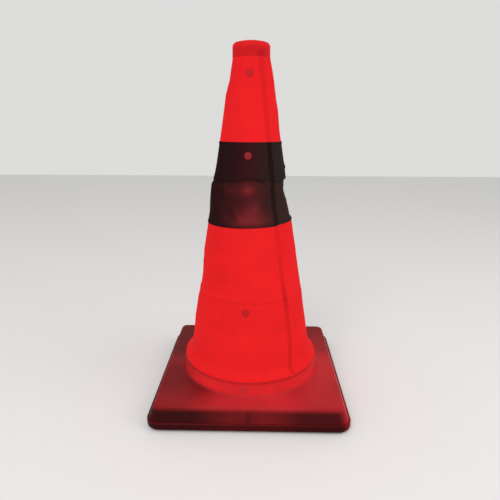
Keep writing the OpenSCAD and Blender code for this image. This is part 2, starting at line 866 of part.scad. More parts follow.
module cap_seal() {
    color("gray") translate([0, 0, seal_groove_z + seal_r + snug / 2]) rotate_extrude()
        translate([plug_r + seal_squeeze - seal_r, 0]) circle(r = seal_r, $fn = 24);
}

module switch_button() {
    color("black") {
        translate([button_x, 0, button_foot_z])
            cylinder(r = button_r, h = button_flange_z + button_flange_h - button_foot_z, $fn = 48);
        translate([button_x, 0, button_flange_z])
            cylinder(r = button_r + button_flange, h = button_flange_h, $fn = 48);
        translate([button_x, 0, button_flange_z])
            cylinder(r = button_stem_r, h = button_flange_h + button_stem_h, $fn = 32);
    }
}

module switch_body() {
    color("gray") translate([button_x - switch_w / 2, -switch_w / 2, switch_z])
        cube([switch_w, switch_w, switch_h]);
}

module switch_board() {
    from = pod_inside_x + snug;
    to = pod_x1 - pod_wall - snug;
    wide = pod_half - pod_wall - snug;
    color("seagreen") translate([from, -wide, switch_z + switch_h])
        cube([to - from, 2 * wide, switch_board_h]);
}

// Leads from the switch board up to the light emitters' board
module switch_leads() {
    color("maroon") for (y = [-1, 1]) translate([lead_x, y * lead_y, lead_z]) {
        rotate([0, 90, 0]) cylinder(r = lead_r, h = button_x - lead_x, $fn = 24);
        sphere(r = lead_r, $fn = 24);
        cylinder(r = lead_r, h = board_z + board_h - lead_z, $fn = 24);
    }
}

base_shell();
base_tray();
rubber_feet();
base_screws();
ballast_plates();
collar_ring();
hem_ring();
boss_rivets();
cover_lower();
cover_middle();
cover_band();
cover_upper();
hoop_1();
hoop_2();
hoop_3();
rivets_1();
rivets_2();
rivets_3();
top_cap();
cap_rivets();
lift_spring();
light_housing();
unit_screws();
battery_holder();
battery_cells();
contact_plates();
contact_disc();
contact_springs();
led_board();
leds();
lens_seal();
lens();
lens_ring();
battery_cap();
cap_seal();
switch_button();
switch_body();
switch_board();
switch_leads();
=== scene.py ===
"""Looks of a collapsible traffic cone that is lit from inside.

Lengths are metres in the CAD frame: the front faces -Y and the floor is z = 0.
Angles on the cone run from the front towards +X."""

import json
import math

import bpy
import numpy as np
from mathutils import Matrix, Vector


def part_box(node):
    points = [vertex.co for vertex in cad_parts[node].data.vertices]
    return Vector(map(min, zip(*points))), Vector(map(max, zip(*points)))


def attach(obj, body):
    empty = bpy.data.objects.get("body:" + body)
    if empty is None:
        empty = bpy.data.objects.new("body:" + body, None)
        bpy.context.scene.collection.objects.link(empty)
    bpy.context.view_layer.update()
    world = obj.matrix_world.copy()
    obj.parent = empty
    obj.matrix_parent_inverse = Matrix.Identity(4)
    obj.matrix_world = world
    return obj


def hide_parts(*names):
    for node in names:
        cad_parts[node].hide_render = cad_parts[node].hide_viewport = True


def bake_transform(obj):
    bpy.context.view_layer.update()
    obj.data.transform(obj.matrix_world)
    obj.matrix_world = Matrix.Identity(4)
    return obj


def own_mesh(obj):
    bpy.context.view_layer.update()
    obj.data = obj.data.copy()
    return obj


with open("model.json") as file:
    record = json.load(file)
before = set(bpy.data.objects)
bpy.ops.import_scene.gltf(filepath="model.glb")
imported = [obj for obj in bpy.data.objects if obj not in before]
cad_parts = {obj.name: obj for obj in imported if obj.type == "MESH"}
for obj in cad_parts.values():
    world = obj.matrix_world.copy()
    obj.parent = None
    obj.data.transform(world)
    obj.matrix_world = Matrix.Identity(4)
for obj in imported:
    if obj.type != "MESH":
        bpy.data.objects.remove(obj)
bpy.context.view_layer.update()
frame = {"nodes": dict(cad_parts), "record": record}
nodes = frame["nodes"]
MM = 0.001


# Levels and radii read from the frame
def levels(node):
    low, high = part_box(node)
    return low.z, high.z


def middle_height(node):
    low, high = levels(node)
    return (low + high) / 2


HOOPS = [levels("hoop_1"), levels("hoop_2"), levels("hoop_3")]
CAP_LOW, CAP_TOP = levels("top_cap")
RIVET_NODES = ("rivets_1", "rivets_2", "rivets_3", "cap_rivets")
RIVET_HEIGHTS = [middle_height(node) for node in RIVET_NODES]
RIVET_TURNS = np.radians([-4, 116, -124])
LINE_LOW = (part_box("cover_middle")[1].x, levels("cover_middle")[0])
LINE_HIGH = (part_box("cover_upper")[1].x, levels("cover_upper")[0])
SLOPE = (LINE_LOW[0] - LINE_HIGH[0]) / (LINE_HIGH[1] - LINE_LOW[1])
CONE_ANGLE = math.atan(SLOPE)
FOOT_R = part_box("cover_lower")[1].x
FOOT_Z = levels("cover_lower")[0]
HEM_LOW, HEM_HIGH = levels("hem_ring")
HEM_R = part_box("hem_ring")[1].x
BAND_LOW, BAND_HIGH = levels("cover_band")
SLEEVE_TOP = levels("cover_upper")[1]

# The foot of the cloth: a rounded rim, its turn in degrees, and a short flare into the cone
RIM_ROUND, RIM_TURN = 3 * MM, 55
FLARE_TOP = 98 * MM
FLARE_LOW_REACH, FLARE_HIGH_REACH = 7 * MM, 14 * MM

# The collar under the foot: its skirt in the boss, its ledge over the boss's edge and its wall
SKIRT_R, SKIRT_SPREAD, SKIRT_DROP = FOOT_R - 3.8 * MM, 6.4 * MM, 20 * MM
COLLAR_LEDGE, COLLAR_WALL, COLLAR_FIT = 1 * MM, 2.2 * MM, 1.3 * MM
COLLAR_TOP = 90 * MM

# The cloth: its thickness, the laps of its panels and how it draws in between the hoops
CLOTH_T = 0.7 * MM
COLUMNS = 288
ROW = 1.8 * MM
LAP = 3 * MM
BAND_LIFT = 0.9 * MM
LAP_LIFT = 0.5 * MM
LAP_DIP = 0.3 * MM
LAP_FADE = 9 * MM
SAG_SHAPE = 0.8
SPANS = [
    (HOOPS[0][1], HOOPS[1][0], 1.7 * MM),
    (HOOPS[1][1], HOOPS[2][0], 1.5 * MM),
    (HOOPS[2][1], CAP_LOW, 0.6 * MM),
]
HOOP_EDGES = [z for hoop in HOOPS for z in hoop]
RIVET_R = 7 * MM
RIVET_SHADES = [0.16, 0.03, 0.0, 0.12]
HOOP_SHADES = [0.045, 0.02, 0.0]
HELD = HOOPS + [(CAP_LOW, CAP_TOP)]
HELD_DEPTH = 0.3 * MM
FREE_DEPTH = 9 * MM

# Slack at the sides of the sleeve: heights and how far the cloth stands out or in there, both in mm
LEFT_TURN, RIGHT_TURN, SLACK_WIDTH = np.radians([-84, 86, 24])
LEFT_HEIGHTS = [120, 155, 200, 212, 232, 250, 275, 300, 340, 440, 470, 595, 612, 622]
LEFT_SLACK = [0, 2.0, 1.7, 0.3, 0, 0.8, 3.2, 3.2, 2.8, 3.0, 2.5, 2.5, 1.6, 0]
RIGHT_HEIGHTS = [
    180, 212, 221, 235, 275, 295, 340, 372, 400, 412,
    422, 436, 444, 530, 567, 590, 618, 640, 656,
]
RIGHT_SLACK = [
    0, 1.0, -0.4, 1.4, 1.4, 0.2, -0.5, -2.4, -1.2, -3.5,
    -6, -6, 0, 0, 2.0, 0.5, 2.0, 1.6, 0.8,
]

# The lap seam runs down the front right: heights in mm, angles in degrees and the share of light it passes
SEAM_HEIGHTS = [76, 97, 128, 190, 221, 250, 314, 350, 510, 586, 660]
SEAM_TURNS = [37.5, 40, 42, 41.5, 40.7, 40.1, 38.4, 37.2, 35.4, 33.4, 31.6]
SEAM_SHARES = [0.82, 0.82, 0.83, 0.82, 0.68, 0.82, 0.92, 0.90, 0.88, 0.87, 0.86]
SEAM_W = 12 * MM
SEAM_H = 0.5 * MM
BAND_SEAM_SHARE = 0.55

# Folds: angle and its width in degrees, height, reach and depth in mm, lean in degrees per mm
FOLDS = [
    (-34, 8, 263, 18, -1.0, -0.10),
    (-44, 20, 292, 6, 1.0, 0.0),
    (-65, 3, 168, 12, 0.8, 0.0),
    (118, 10, 255, 26, -1.4, 0.08),
    (150, 8, 270, 24, 1.1, -0.07),
    (-128, 9, 262, 24, -1.3, 0.09),
    (-160, 11, 275, 20, 1.0, -0.05),
    (70, 7, 262, 22, -1.0, 0.06),
    (-80, 42, 414, 28, 4.6, 0.0),
    (84, 42, 412, 24, -3.2, 0.0),
    (-48, 6, 418, 20, -1.7, 0.03),
    (-25, 4, 380, 15, -2.0, -0.6),
    (-48, 5, 417, 14, -1.1, -0.65),
    (-48, 4, 394, 9, 0.9, -0.6),
    (-17, 7, 367, 8, 1.4, 0.0),
    (-12, 5, 388, 8, -0.8, 0.0),
    (8, 7, 408, 16, 0.9, 0.0),
    (4, 7, 429, 9, 1.6, 0.0),
    (19, 3, 440, 4.5, -2.8, -1.5),
    (60, 8, 405, 22, 1.2, 0.10),
    (80, 5, 466, 5, 2.2, 0.0),
    (130, 7, 408, 22, -1.6, -0.15),
    (168, 8, 402, 20, 1.4, 0.12),
    (-120, 6, 405, 22, -1.5, 0.15),
    (-150, 8, 410, 20, 1.2, -0.12),
    (-35, 9, 560, 24, -0.5, 0.1),
    (75, 9, 555, 24, -0.5, -0.1),
    (160, 9, 560, 24, -0.5, 0.1),
    (-110, 9, 560, 24, -0.5, -0.1),
]

# Painted shade of wrinkles in the red cloth: angle and width in degrees, height and reach in mm, share of
# the light lost
WRINKLE_SHADES = [
    (-52, 15, 325, 18, 0.09),
    (-56, 9, 306, 7, 0.05),
    (-36, 20, 262, 20, 0.08),
    (-50, 14, 236, 10, 0.06),
    (-75, 12, 285, 10, 0.12),
]

# Soft spots of light in the band, below zero for shades:
# angle and width in degrees, height and reach in mm, light
BAND_SPOTS = [
    (-4, 7, 427.5, 9, 0.075),
    (-32, 15, 429, 11, 0.016),
    (-14, 10, 425, 13, 0.018),
    (-18, 10, 379, 10, 0.016),
    (-1, 10, 375, 8, 0.046),
    (6, 7, 391, 10, 0.022),
    (18, 9, 372, 7, 0.018),
    (-35, 6, 373, 8, 0.012),
    (-15, 9, 400, 10, -0.016),
    (25, 8, 394, 14, -0.013),
    (51, 6, 410, 25, 0.008),
    (43.5, 4, 427.5, 7, 0.020),
    (130, 12, 376, 9, 0.03),
    (150, 9, 398, 10, -0.012),
    (-120, 12, 374, 9, 0.03),
    (-140, 9, 396, 10, -0.012),
]

# The band: how far its crease hangs at the sides and the heights between which its glow grows downwards
CREASE_DROP = 7 * MM
GLOW_TOP, GLOW_FULL = 415 * MM, 372 * MM

# The band's lower edge rises towards the right, with a step at the seam.
# The cloth moves with it fully close by, and less and less up to these distances below and above.
EDGE_LIFT, EDGE_TILT, EDGE_STEP = 0.6 * MM, 2.6 * MM, 1.6 * MM
EDGE_CLOSE, EDGE_BELOW, EDGE_ABOVE = 4 * MM, 34 * MM, 44 * MM

# Colours, linear: what the cloth reflects, a painted grey reflection for the band's right, and what shines
# through it, most at one angle
BRIGHT_TURN = 0.6
CLOTH_TINT = np.array([0.27, 0.007, 0.0085])
CLOTH_GLOW = np.array([0.585, 0.0095, 0.0102])
BAND_TINT = np.array([0.0192, 0.0064, 0.0074])
BAND_REFLECTION = np.array([0.025, 0.0168, 0.0150])
BAND_GLOW = np.array([1.0, 0.075, 0.085])


def wrapped(angle):
    return (angle + np.pi) % (2 * np.pi) - np.pi


def bell(distance, width):
    return np.exp(-((distance / width) ** 2))


def smooth(value, low, high):
    share = np.clip((value - low) / (high - low), 0, 1)
    return share * share * (3 - 2 * share)


def cone_radius(z):
    return LINE_LOW[0] - (z - LINE_LOW[1]) * SLOPE


def neck_curve():
    """Radius and height of the cloth from its foot to the first hoop."""
    turn = np.radians(np.linspace(0, RIM_TURN, 12))
    arc = np.column_stack([
        FOOT_R - RIM_ROUND * (1 - np.cos(turn)),
        FOOT_Z + RIM_ROUND * np.sin(turn),
    ])
    start = arc[-1]
    first = HOOPS[0][0]
    finish = np.array([cone_radius(FLARE_TOP), FLARE_TOP])
    away = start + FLARE_LOW_REACH * np.array([-np.sin(turn[-1]), np.cos(turn[-1])])
    near = finish + FLARE_HIGH_REACH * np.array([math.sin(CONE_ANGLE), -math.cos(CONE_ANGLE)])
    t = np.linspace(0, 1, 48)[1:, None]
    rise = start * (1 - t) ** 3 + 3 * away * t * (1 - t) ** 2
    rise = rise + 3 * near * t**2 * (1 - t) + finish * t**3
    return np.vstack([arc, rise, [[cone_radius(first), first]]])


NECK = neck_curve()


def free_share(z):
    """1 in the middle of a free span of cloth, 0 over the hoops."""
    share = 0 * z
    for low, high, _ in SPANS:
        t = np.clip((z - low) / (high - low), 0, 1)
        share = share + np.abs(np.sin(np.pi * t)) ** SAG_SHAPE
    return share


def draw_in(z):
    depth = 0 * z
    for low, high, sag in SPANS:
        t = np.clip((z - low) / (high - low), 0, 1)
        depth = depth + sag * np.abs(np.sin(np.pi * t)) ** SAG_SHAPE
    return depth


def row_distance(angle, z, height):
    """Distance along the cloth to the nearest rivet of the row at a height."""
    nearest = 1 + 0 * z
    for turn in RIVET_TURNS:
        across = cone_radius(z) * wrapped(angle - turn)
        nearest = np.minimum(nearest, np.hypot(across, (z - height) / math.cos(CONE_ANGLE)))
    return nearest


def rivet_distance(angle, z):
    """Distance along the cloth to the nearest rivet of all."""
    return np.minimum.reduce([row_distance(angle, z, height) for height in RIVET_HEIGHTS])


def held_share(z):
    """1 where a hoop or the cap backs the cloth, 0 where it hangs free."""
    share = 0 * z
    for low, high in HELD:
        share = np.maximum(share, smooth(z, low - 4 * MM, low) * smooth(-z, -high - 4 * MM, -high))
    return share


def crease_height(angle):
    """Height of the crease in the band, which hangs lower at the sides."""
    wave = 0.7 * MM * np.sin(5 * angle + 1) + 0.7 * MM * np.sin(11 * angle + 2.5)
    return HOOPS[2][0] + 2 * MM - CREASE_DROP * np.sin(angle) ** 2 + wave


def crease_share(angle):
    """How sharp the crease is: sharpest right of the front rivet."""
    return 0.35 + 0.65 * bell(wrapped(angle - 0.14), 0.3)


def side_slack(angle, z):
    """How far the cloth stands out or in at the sides of the sleeve."""
    left = np.interp(z / MM, LEFT_HEIGHTS, LEFT_SLACK) * bell(wrapped(angle - LEFT_TURN), SLACK_WIDTH)
    right = np.interp(z / MM, RIGHT_HEIGHTS, RIGHT_SLACK) * bell(wrapped(angle - RIGHT_TURN), SLACK_WIDTH)
    return (left + right) * MM


def crumple(angle, z):
    """Small uneven puckers in the band's cloth, from about -1 to 1."""
    up = z / MM
    swirl = np.sin(12 * angle + 1.3 * np.sin(up / 9 + 0.6)) * np.sin(up / 6.3 + 1.1 * np.sin(8 * angle))
    slant = np.sin(9 * angle + up / 6.4 + 2.0) * np.sin(6 * angle - up / 16 + 0.4)
    return 0.6 * swirl + 0.5 * slant


def relief(angle, z):
    """How far the cloth stands off its even shape."""
    off = side_slack(angle, z) - draw_in(z)
    for turn, width, height, reach, depth, lean in FOLDS:
        centre = turn + lean * (z / MM - height)
        away = np.degrees(wrapped(angle - np.radians(centre)))
        off = off + depth * MM * bell(away, width) * bell(z / MM - height, reach)
    wave = np.sin(9 * angle + 40 * z) + 0.7 * np.sin(14 * angle - 60 * z + 1.7)
    wave = wave + 0.5 * np.sin(23 * angle + 90 * z + 0.6)
    off = off + 0.22 * MM * wave * free_share(z)
    in_band = smooth(z, BAND_LOW, BAND_LOW + 6 * MM) * smooth(-z, -BAND_HIGH, 6 * MM - BAND_HIGH)
    off = off + 0.3 * MM * crumple(angle, z) * in_band * free_share(z)
    for edge in HOOP_EDGES:
        off = off + 0.2 * MM * bell(z - edge, 2.5 * MM)
    flare = smooth(CAP_LOW - z, -4 * MM, 12 * MM) * smooth(z, BAND_HIGH, CAP_LOW - 20 * MM)
    off = off + 0.9 * MM * flare
    below = crease_height(angle) - z
    off = off - 1.2 * MM * crease_share(angle) * bell(below, 2 * MM)
    off = off + 1.7 * MM * smooth(below, 0, 6 * MM) * smooth(-below, -30 * MM, -8 * MM)
    off = off - 0.3 * MM * bell(rivet_distance(angle, z), 9 * MM)
    held = held_share(z)
    return np.maximum(off, -HELD_DEPTH * held - FREE_DEPTH * (1 - held))


def cloth_radius(angle, z):
    even = np.where(z < HOOPS[0][0], np.interp(z, NECK[:, 1], NECK[:, 0]), cone_radius(z))
    return even + relief(angle, z)


def on_cone(angle, radius, z):
    return np.stack([radius * np.sin(angle), -radius * np.cos(angle), z], axis=-1)


def seam_angle(z):
    return np.radians(np.interp(z / MM, SEAM_HEIGHTS, SEAM_TURNS))


def edge_rise(angle):
    """How far the band's lower edge stands above its even height."""
    past = wrapped(angle - seam_angle(BAND_LOW))
    step = smooth(past, -0.035, 0.035) * (1 - smooth(past, 0.5, 2.0))
    return EDGE_LIFT + EDGE_TILT * np.sin(angle) + EDGE_STEP * step


def tilted(angle, z):
    """Heights of the cloth's points, moved with the band's lower edge where they lie near it."""
    away = z - BAND_LOW
    near = smooth(away, -EDGE_BELOW, -EDGE_CLOSE) * (1 - smooth(away, EDGE_CLOSE, EDGE_ABOVE))
    return z + edge_rise(angle) * near


# Light through the cloth
def cloth_light(angle, z):
    """Share of the lamp's light that the red cloth lets through, with painted shade at the hoops, folds,
    wrinkles and rivets.
    """
    light = 1.01 - 0.08 * (1 - np.cos(angle - BRIGHT_TURN))
    light = light + 0.012 * np.sin(3 * angle + 25 * z) + 0.012 * np.sin(5 * angle - 38 * z + 1)
    for (low, high), loss in zip(HOOPS, HOOP_SHADES):
        light = light * (1 - loss * smooth(z, low - 2 * MM, low + MM) * smooth(-z, -high - MM, MM - high))
    # Painted shade and light: a dark line just under the first hoop's top, lighter cloth just above it and
    # under the hoop, dimmer under the cap and at the neck
    line = HOOPS[0][1]
    light = light * (1 - 0.07 * bell(z - line + 2 * MM, 2 * MM) * smooth(-np.sin(angle), -0.64, 0.1))
    light = light * (1 - 0.05 * smooth(z, CAP_LOW - MM, CAP_LOW + MM))
    light = light * (1 + 0.035 * bell(z - line - 4 * MM, 3 * MM) * smooth(-np.sin(angle), 0.2, 0.78))
    light = light + 0.03 * bell(z - HOOPS[0][0] + 7 * MM, 8 * MM)
    neck = smooth(FOOT_Z - z, -54 * MM, -32 * MM) * smooth(z - FOOT_Z, 4 * MM, 16 * MM)
    light = light * (1 - 0.05 * neck)
    # Painted shade and light on the folds
    for turn, width, height, reach, depth, lean in FOLDS:
        centre = turn + lean * (z / MM - height)
        away = np.degrees(wrapped(angle - np.radians(centre)))
        light = light * (1 + 0.05 * depth * bell(away, width) * bell(z / MM - height, reach))
    # Painted shade of the wrinkles
    for turn, width, height, reach, loss in WRINKLE_SHADES:
        away = np.degrees(wrapped(angle - np.radians(turn)))
        light = light * (1 - loss * bell(away, width) * bell(z / MM - height, reach))
    for height, loss in zip(RIVET_HEIGHTS, RIVET_SHADES):
        light = light * (1 - loss * np.exp(-((row_distance(angle, z, height) / (9 * MM)) ** 4)))
    return light


def band_light(angle, z):
    """Light through the dark band, strongest low at the front."""
    below = crease_height(angle) - z
    low_part = smooth(below, 0, 7 * MM)
    depth = smooth(-z, -GLOW_TOP, -GLOW_FULL)
    lobes = bell(wrapped(angle - 0.01), 0.41) + 0.6 * bell(wrapped(angle - 2.3), 0.5)
    lobes = lobes + 0.7 * bell(wrapped(angle + 2.2), 0.55)
    light = low_part * (0.008 * (1 - far_left(angle)) + lobes * (0.044 + 0.085 * depth))
    for turn, width, height, reach, change in BAND_SPOTS:
        away = np.degrees(wrapped(angle - np.radians(turn)))
        light = light + low_part * change * bell(away, width) * bell(z / MM - height, reach)
    light = np.maximum(light, 0) * (1 + 0.13 * crumple(angle, z) * low_part)
    light = light + (1 - low_part) * 0.016 * lobes
    for turn, width, height, reach, depth_mm, lean in FOLDS:
        centre = turn + lean * (z / MM - height)
        away = np.degrees(wrapped(angle - np.radians(centre)))
        swell = 0.3 * depth_mm * bell(away, width) * bell(z / MM - height, reach)
        light = light * np.clip(1 + swell, 0.15, 2)
    # Painted shade in the crease and along the band's lower edge
    light = light * (1 - 0.4 * crease_share(angle) * bell(below, 2 * MM))
    light = light * (1 - 0.6 * bell(z - BAND_LOW - edge_rise(angle), 6.5 * MM))
    return np.maximum(light, 0.001)


def band_reflection_share(angle, z):
    """Where the band gets a painted grey reflection, from the seam to the far right."""
    past = wrapped(angle - seam_angle(z))
    return smooth(past, -0.75, 0.3) * (1 - smooth(past, 1.2, 1.9))


def far_left(angle):
    """1 at the far left of the cone, 0 at the front and behind."""
    turn = -np.degrees(angle)
    return smooth(turn, 38, 80) * (1 - smooth(turn, 105, 145))


def band_shade(angle, z):
    """Painted shade on the band's colour, in the crease and at the far left."""
    crease = 1 - 0.3 * crease_share(angle) * bell(crease_height(angle) - z, 2 * MM)
    return crease * (1 - 0.45 * far_left(angle))


# Making meshes
def make_piece(name, points, faces):
    mesh = bpy.data.meshes.new(name)
    mesh.from_pydata(points.reshape(-1, 3).tolist(), [], faces)
    mesh.polygons.foreach_set("use_smooth", np.ones(len(mesh.polygons), bool))
    mesh.update()
    piece = bpy.data.objects.new(name, mesh)
    bpy.context.scene.collection.objects.link(piece)
    return piece


def set_vectors(piece, name, values):
    made = piece.data.attributes.new(name, "FLOAT_VECTOR", "POINT")
    made.data.foreach_set("vector", np.asarray(values, np.float32).ravel())


def grid_faces(rows, columns, closed=False):
    faces = []
    across = columns if closed else columns - 1
    for i in range(rows - 1):
        for j in range(across):
            k = (j + 1) % columns
            faces.append((i * columns + j, i * columns + k, (i + 1) * columns + k, (i + 1) * columns + j))
    return faces


def ring_faces(count):
    """Faces of a closed section with count points, carried once round the axis."""
    faces = []
    for i in range(COLUMNS):
        for j in range(count):
            a, b = (i + 1) % COLUMNS, (j + 1) % count
            faces.append((i * count + j, a * count + j, a * count + b, i * count + b))
    return faces


def give(piece, material):
    piece.data.materials.clear()
    piece.data.materials.append(material)


def row_heights(low, high):
    """Heights of a panel's rows, closer together at its ends and at the hoops' edges."""
    rows = list(np.linspace(low, high, int((high - low) / ROW)))
    for edge in HOOP_EDGES + [low, high]:
        rows += [edge + step * MM for step in (-4, -3, -2.2, -1.5, -0.8, 0, 0.8, 1.5, 2.2, 3, 4)]
    rows = sorted(z for z in rows if low <= z <= high)
    kept = [rows[0]]
    for z in rows[1:]:
        if z - kept[-1] > 0.3 * MM:
            kept.append(z)
    return np.array(kept)


# Stitches: short lens-shaped threads along lines on the cloth
STITCH = 2.7 * MM
STITCH_PITCH = 3.8 * MM
STITCH_W = 0.45 * MM
STITCH_H = 0.35 * MM


def surface_point(angle, z, lift):
    """A point above the cloth, along the cone's outward normal."""
    z = tilted(angle, z)
    normal = on_cone(angle, math.cos(CONE_ANGLE) + 0 * angle, math.sin(CONE_ANGLE) + 0 * angle)
    return on_cone(angle, cloth_radius(angle, z), z) + lift[..., None] * normal, normal


def stitch_row(angles_from, z_from, angles_to, z_to, lift):
    start, normal = surface_point(angles_from, z_from, lift + 0 * angles_from)
    end, _ = surface_point(angles_to, z_to, lift + 0 * angles_to)
    along = end - start
    side = np.cross(along, normal)
    side = side / np.linalg.norm(side, axis=-1, keepdims=True)
    centre = (start + end) / 2
    rim = [centre + side * STITCH_W, centre + normal * STITCH_H]
    rim += [centre - side * STITCH_W, centre - normal * STITCH_H]
    return np.stack([start, *rim, end], axis=1)


def around(z, lift):
    """A row of stitches round the cone at one height."""
    count = int(2 * np.pi * float(cone_radius(z)) / STITCH_PITCH)
    start = 2 * np.pi * np.arange(count) / count
    reach = STITCH / float(cone_radius(z))
    height = np.full(count, z)
    return stitch_row(start, height, start + reach, height, lift)


def along_seam(low, high, offset, lift):
    """A row of stitches up the seam."""
    z = np.arange(low + MM, high - STITCH, STITCH_PITCH)
    top = z + STITCH
    turn_low = seam_angle(z) + offset / cone_radius(z)
    turn_high = seam_angle(top) + offset / cone_radius(top)
    return stitch_row(turn_low, z, turn_high, top, lift)


def stitches(name, rows):
    points = np.concatenate(rows)
    faces = []
    for k in range(len(points)):
        first = 6 * k
        for i in range(4):
            a, b = first + 1 + i, first + 1 + (i + 1) % 4
            faces += [(first, a, b), (first + 5, b, a)]
    return make_piece(name, points, faces)


# Materials
def join(tree, value, socket):
    if isinstance(value, bpy.types.NodeSocket):
        tree.links.new(value, socket)
    else:
        socket.default_value = value


def add(tree, kind, sockets, **settings):
    """Adds a shader node. Sockets maps an input's name or number to a value or another node's output."""
    made = tree.nodes.new("ShaderNode" + kind)
    for key, value in settings.items():
        setattr(made, key, value)
    for key, value in sockets.items():
        join(tree, value, made.inputs[key])
    return made


def new_material(name):
    material = bpy.data.materials.new(name)
    material.use_nodes = True
    tree = material.node_tree
    return material, tree, tree.nodes["Principled BSDF"]


def colour(value):
    return (*value, 1.0)


def noise(tree, coordinates, scale, detail=3.0):
    return add(tree, "TexNoise", {"Vector": coordinates, "Scale": scale, "Detail": detail}).outputs[0]


def spread(tree, value, low, high, start=0.0, end=1.0):
    sockets = {"Value": value, "From Min": start, "From Max": end, "To Min": low, "To Max": high}
    return add(tree, "MapRange", sockets, interpolation_type="SMOOTHSTEP").outputs[0]


def mix(tree, factor, first, second):
    return add(tree, "Mix", {0: factor, 6: first, 7: second}, data_type="RGBA").outputs[2]


def sum_of(tree, operation, first, second):
    return add(tree, "Math", {0: first, 1: second}, operation=operation).outputs[0]


def scaled(tree, vector, share):
    return add(tree, "VectorMath", {"Vector": vector, "Scale": share}, operation="SCALE").outputs[0]


def bump(tree, height, strength, distance):
    return add(tree, "Bump", {"Height": height, "Strength": strength, "Distance": distance}).outputs[0]


def attribute(tree, name):
    return add(tree, "Attribute", {}, attribute_name=name).outputs["Vector"]


def thread_wave(tree, coordinates, direction, pitch):
    """Threads across one direction, each one pitch wide."""
    scale = 2 * math.pi / (20 * pitch)
    settings = {"wave_type": "BANDS", "bands_direction": direction, "wave_profile": "SIN"}
    sockets = {"Vector": coordinates, "Scale": scale, "Distortion": 0.4}
    return add(tree, "TexWave", sockets, **settings).outputs[1]


def cloth_material(name, pitch, roughness, specular, relief_strength):
    """A woven, coated cloth. Its colour, which in the band holds painted shade and a painted reflection, and
    the light through it come from the mesh.
    """
    material, tree, shader = new_material(name)
    place = attribute(tree, "weave")
    warp = thread_wave(tree, place, "X", pitch)
    weft = thread_wave(tree, place, "Y", pitch)
    weave = sum_of(tree, "MULTIPLY", warp, weft)
    slub = noise(tree, place, 70, 4)
    patch = noise(tree, place, 22, 2)
    thread = spread(tree, weave, 0.90, 1.05)
    body = sum_of(tree, "MULTIPLY", thread, spread(tree, slub, 0.92, 1.07, 0.25, 0.75))
    join(tree, scaled(tree, attribute(tree, "tint"), body), shader.inputs["Base Color"])
    cloudy = spread(tree, patch, 0.985, 1.012, 0.3, 0.7)
    shine = sum_of(tree, "MULTIPLY", spread(tree, weave, 0.97, 1.02), cloudy)
    join(tree, scaled(tree, attribute(tree, "glow"), shine), shader.inputs["Emission Color"])
    shader.inputs["Emission Strength"].default_value = 1.0
    join(tree, spread(tree, slub, roughness - 0.08, roughness + 0.10), shader.inputs["Roughness"])
    shader.inputs["Specular IOR Level"].default_value = specular
    shader.inputs["Sheen Weight"].default_value = 0.01
    shader.inputs["Sheen Roughness"].default_value = 0.5
    shader.inputs["Sheen Tint"].default_value = colour((1.0, 0.1, 0.1))
    height = sum_of(tree, "ADD", weave, sum_of(tree, "MULTIPLY", patch, 0.8))
    join(tree, bump(tree, height, relief_strength, 0.4 * MM), shader.inputs["Normal"])
    return material


def moulded(name, light, dark, roughness, specular=0.4, grain=0.12, grain_scale=1400, metallic=0.0):
    """Moulded or finished stock: grain, faint flow marks and uneven gloss."""
    material, tree, shader = new_material(name)
    place = add(tree, "TexCoord", {}).outputs["Object"]
    flow = noise(tree, place, 26, 4)
    fine = noise(tree, place, grain_scale, 2)
    scuff = noise(tree, place, 190, 5)
    join(tree, mix(tree, flow, colour(dark), colour(light)), shader.inputs["Base Color"])
    join(tree, spread(tree, scuff, roughness - 0.05, roughness + 0.07, 0.3, 0.7), shader.inputs["Roughness"])
    shader.inputs["Specular IOR Level"].default_value = specular
    shader.inputs["Metallic"].default_value = metallic
    height = sum_of(tree, "ADD", fine, sum_of(tree, "MULTIPLY", flow, 0.6))
    join(tree, bump(tree, height, grain, 0.2 * MM), shader.inputs["Normal"])
    return material, tree, shader, place


def brushed(name, light, dark, roughness):
    """Drawn or plated metal with fine lines round its axis."""
    material, tree, shader, place = moulded(name, light, dark, roughness, 0.5, 0.1, 2200, 1.0)
    sockets = {"Vector": place, "Scale": 300.0, "Distortion": 6.0}
    lines = add(tree, "TexWave", sockets, bands_direction="Z").outputs[1]
    join(tree, bump(tree, lines, 0.08, 0.05 * MM), shader.inputs["Normal"])
    return material


cloth_red = cloth_material("cloth_red", 0.9 * MM, 0.62, 0.01, 0.35)
band_cloth = cloth_material("reflective_band", 1.3 * MM, 0.60, 0.01, 0.45)
thread_dark = moulded("thread_dark", (0.030, 0.012, 0.012), (0.016, 0.006, 0.007), 0.65, 0.08, 0.3, 3000)[0]


def lit_red(name, tint, roughness, specular):
    """Translucent red plastic. Returns what is needed to shape the light in it."""
    dark = tuple(0.8 * c for c in tint)
    material, tree, shader, place = moulded(name, tint, dark, roughness, specular, 0.10, 900)
    shader.inputs["Emission Strength"].default_value = 1.0
    return material, tree, shader, place


def direction_share(tree, place, turn):
    """How far a point lies towards an angle from the front, from -1 to 1."""
    flat = add(tree, "VectorMath", {0: place, 1: (1.0, 1.0, 0.0)}, operation="MULTIPLY").outputs[0]
    heading = add(tree, "VectorMath", {0: flat}, operation="NORMALIZE").outputs[0]
    towards = (math.sin(math.radians(turn)), -math.cos(math.radians(turn)), 0.0)
    return add(tree, "VectorMath", {0: heading, 1: towards}, operation="DOT_PRODUCT").outputs["Value"]


